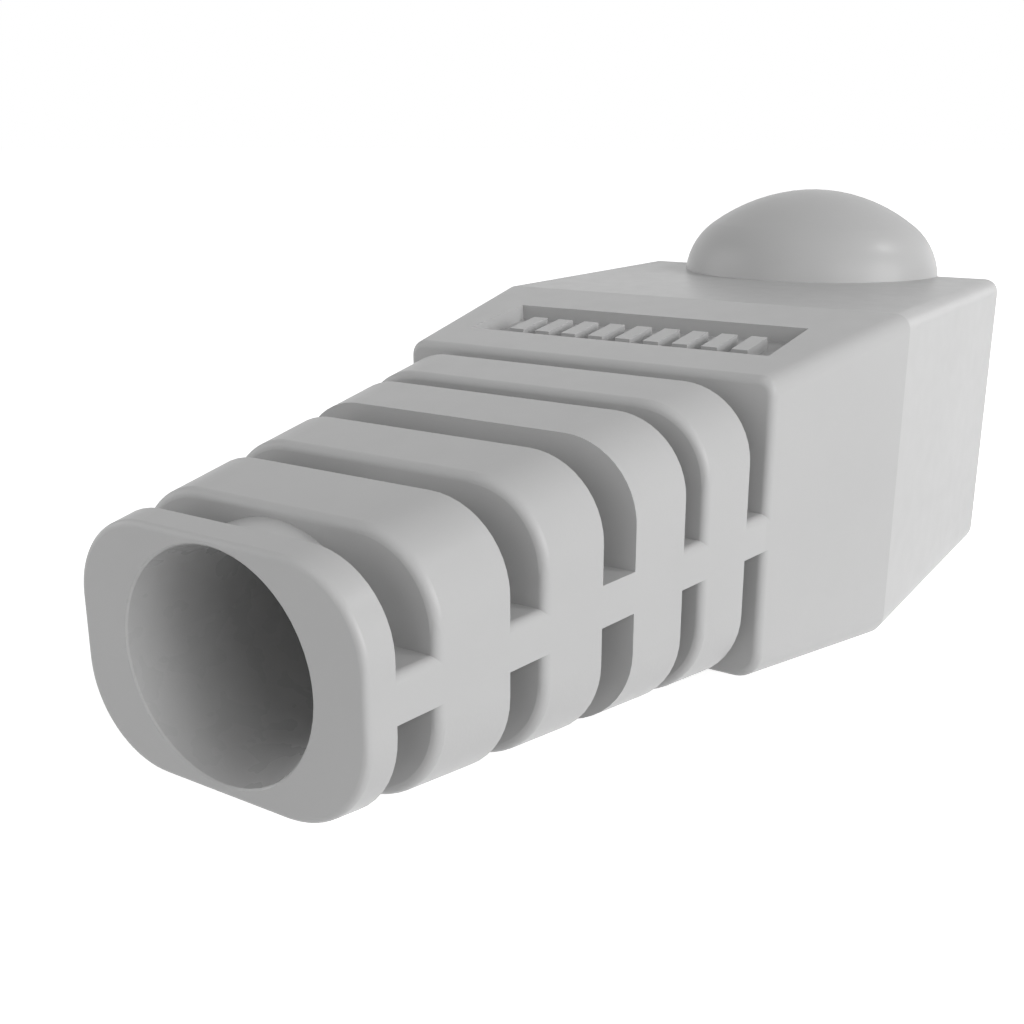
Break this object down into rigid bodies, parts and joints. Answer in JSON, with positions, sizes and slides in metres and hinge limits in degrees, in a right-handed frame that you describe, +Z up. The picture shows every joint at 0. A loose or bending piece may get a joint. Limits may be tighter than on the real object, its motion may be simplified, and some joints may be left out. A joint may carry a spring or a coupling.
{
  "type": "strain relief boot",
  "caption": "Slotted cable strain relief boot with a square sleeve for a modular plug and a domed latch hood.",
  "frame": {"origin": "middle of the footprint at the level of the sleeve's flat underside", "axes": "+X along the boot from the cable end towards the plug end, +Y across, +Z up towards the latch hood"},
  "size_m": [0.0334, 0.0146, 0.0136],
  "materials": {
    "soft_pvc": "fine satin, soft to the touch"
  },
  "bodies": {
    "root": {"boot": "soft_pvc"}
  },
  "joints": []
}
